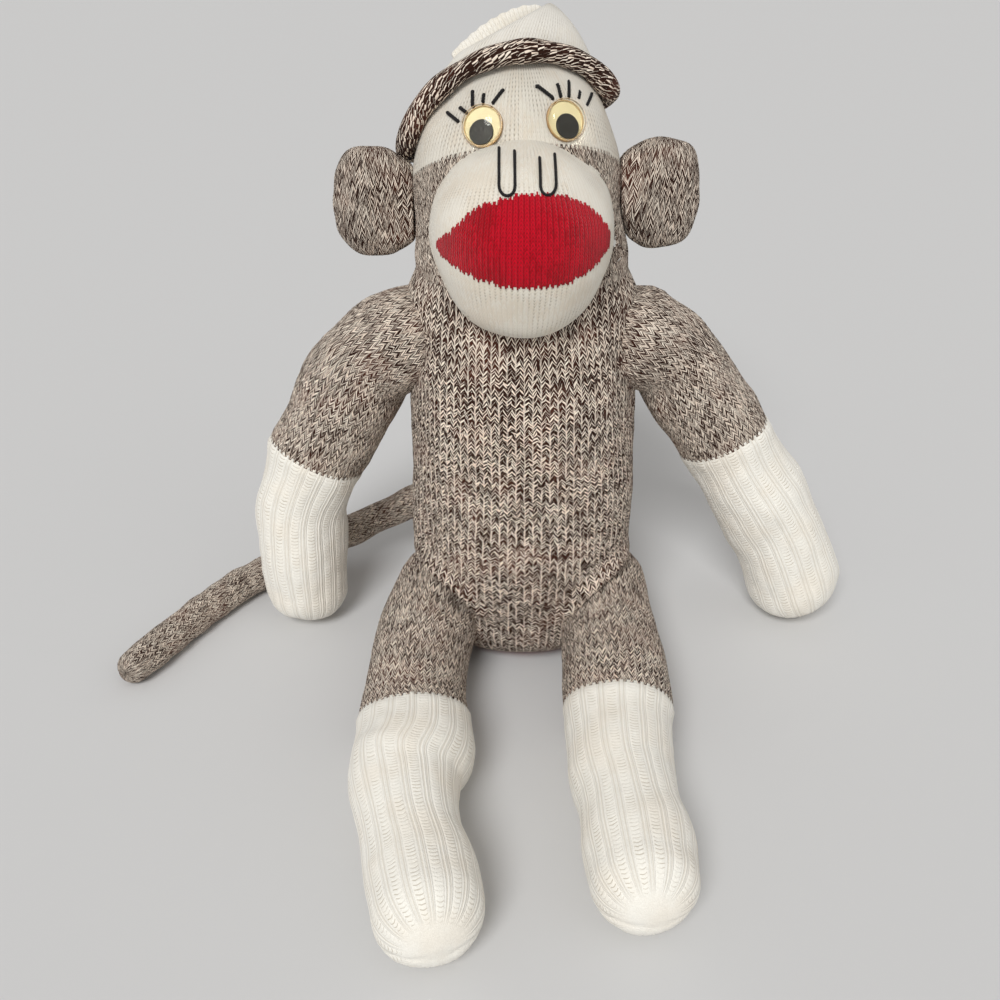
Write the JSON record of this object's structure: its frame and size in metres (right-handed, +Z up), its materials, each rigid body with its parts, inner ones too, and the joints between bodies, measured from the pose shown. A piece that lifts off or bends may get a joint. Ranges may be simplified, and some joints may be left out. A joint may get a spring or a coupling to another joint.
{
  "type": "sock monkey doll",
  "caption": "Hand-sewn stuffed sock monkey in marled and cream knit, sitting, with a rolled-brim hat, wiggle eyes, and limbs, head, ears and tail that move",
  "frame": {"origin": "middle of the flat seat, on the surface that the doll sits on", "axes": "+Z up, -Y to the doll's front, +X to the viewer's right when the doll faces the viewer"},
  "size_m": [0.3812, 0.3128, 0.3122],
  "materials": {
    "marl": "knit, marled brown and cream",
    "cream": "knit, fuzzy",
    "red": "knit, fuzzy",
    "fibre": "loose stuffing",
    "black_thread": "twisted thread",
    "eye_back": "aged, glossy",
    "pupil": "smooth",
    "clear": "clear, glossy"
  },
  "bodies": {
    "torso": {"torso": "marl", "torso_stuffing": "fibre", "seat_heel": "red"},
    "neck": {"neck_stuffing": "fibre"},
    "head": {"head_lower": "marl", "head_toe_cap": "cream", "head_stuffing": "fibre", "muzzle": "cream", "lips": "red", "muzzle_stuffing": "fibre", "hat_crown": "cream", "hat_brim": "marl", "eye_back_left": "eye_back", "eye_back_right": "eye_back", "eye_dome_left": "clear", "eye_dome_right": "clear", "lash_left_1": "black_thread", "lash_left_2": "black_thread", "lash_left_3": "black_thread", "lash_left_4": "black_thread", "lash_left_5": "black_thread", "lash_right_1": "black_thread", "lash_right_2": "black_thread", "lash_right_3": "black_thread", "lash_right_4": "black_thread", "lash_right_5": "black_thread", "nostril_left": "black_thread", "nostril_right": "black_thread"},
    "ear_left": {"ear_left": "marl", "ear_stuffing_left": "fibre"},
    "ear_right": {"ear_right": "marl", "ear_stuffing_right": "fibre"},
    "pupil_left": {"eye_pupil_left": "pupil"},
    "pupil_right": {"eye_pupil_right": "pupil"},
    "shoulder_left": {"shoulder_stuffing_left": "fibre"},
    "arm_left": {"arm_left": "marl", "hand_cuff_left": "cream", "arm_stuffing_left": "fibre"},
    "shoulder_right": {"shoulder_stuffing_right": "fibre"},
    "arm_right": {"arm_right": "marl", "hand_cuff_right": "cream", "arm_stuffing_right": "fibre"},
    "hip_left": {"hip_stuffing_left": "fibre"},
    "leg_left": {"leg_left": "marl", "foot_cuff_left": "cream", "leg_stuffing_left": "fibre"},
    "hip_right": {"hip_stuffing_right": "fibre"},
    "leg_right": {"leg_right": "marl", "foot_cuff_right": "cream", "leg_stuffing_right": "fibre"},
    "tail": {"tail": "marl", "tail_stuffing": "fibre"}
  },
  "joints": [
    {"name": "neck_turn", "type": "hinge", "parent": "torso", "child": "neck", "pos_m": [-0.0015, 0.022, 0.196], "axis": [0, 0.1736, 0.9848], "range_deg": [-30, 30]},
    {"name": "neck_nod", "type": "hinge", "parent": "neck", "child": "head", "pos_m": [-0.0015, 0.022, 0.196], "axis": [1, 0, 0], "range_deg": [-20, 4]},
    {"name": "ear_left_fold", "type": "hinge", "parent": "head", "child": "ear_left", "pos_m": [-0.0581, 0.031, 0.2255], "axis": [0, 0, 1], "range_deg": [-15, 15], "stiffness_Nm_per_rad": 0.02},
    {"name": "ear_right_fold", "type": "hinge", "parent": "head", "child": "ear_right", "pos_m": [0.051, 0.031, 0.2295], "axis": [0, 0, -1], "range_deg": [-15, 15], "stiffness_Nm_per_rad": 0.02},
    {"name": "pupil_left_roll", "type": "hinge", "parent": "head", "child": "pupil_left", "pos_m": [-0.01907, -0.0001, 0.26626], "axis": [-0.3077, -0.8606, 0.4059], "continuous": true},
    {"name": "pupil_right_roll", "type": "hinge", "parent": "head", "child": "pupil_right", "pos_m": [0.01575, 0.00282, 0.26804], "axis": [0.4118, -0.8009, 0.4347], "continuous": true},
    {"name": "shoulder_left_swing", "type": "hinge", "parent": "torso", "child": "shoulder_left", "pos_m": [-0.05537, 0.01641, 0.164], "axis": [-1, 0, 0], "range_deg": [0, 80]},
    {"name": "arm_left_lift", "type": "hinge", "parent": "shoulder_left", "child": "arm_left", "pos_m": [-0.05537, 0.01641, 0.164], "axis": [0, 1, 0], "range_deg": [0, 50]},
    {"name": "shoulder_right_swing", "type": "hinge", "parent": "torso", "child": "shoulder_right", "pos_m": [0.05537, 0.01641, 0.164], "axis": [-1, 0, 0], "range_deg": [-30, 80]},
    {"name": "arm_right_lift", "type": "hinge", "parent": "shoulder_right", "child": "arm_right", "pos_m": [0.05537, 0.01641, 0.164], "axis": [0, -1, 0], "range_deg": [0, 50]},
    {"name": "hip_left_swing", "type": "hinge", "parent": "torso", "child": "hip_left", "pos_m": [-0.042, -0.005, 0.03], "axis": [-1, 0, 0], "range_deg": [-75, 20]},
    {"name": "leg_left_spread", "type": "hinge", "parent": "hip_left", "child": "leg_left", "pos_m": [-0.042, -0.005, 0.03], "axis": [0, 0, -1], "range_deg": [0, 40]},
    {"name": "hip_right_swing", "type": "hinge", "parent": "torso", "child": "hip_right", "pos_m": [0.042, -0.005, 0.03], "axis": [-1, 0, 0], "range_deg": [-75, 20]},
    {"name": "leg_right_spread", "type": "hinge", "parent": "hip_right", "child": "leg_right", "pos_m": [0.042, -0.005, 0.03], "axis": [0, 0, 1], "range_deg": [0, 40]},
    {"name": "tail_wag", "type": "hinge", "parent": "torso", "child": "tail", "pos_m": [0, 0.0531, 0.062], "axis": [0, 0, -1], "range_deg": [0, 110]}
  ]
}
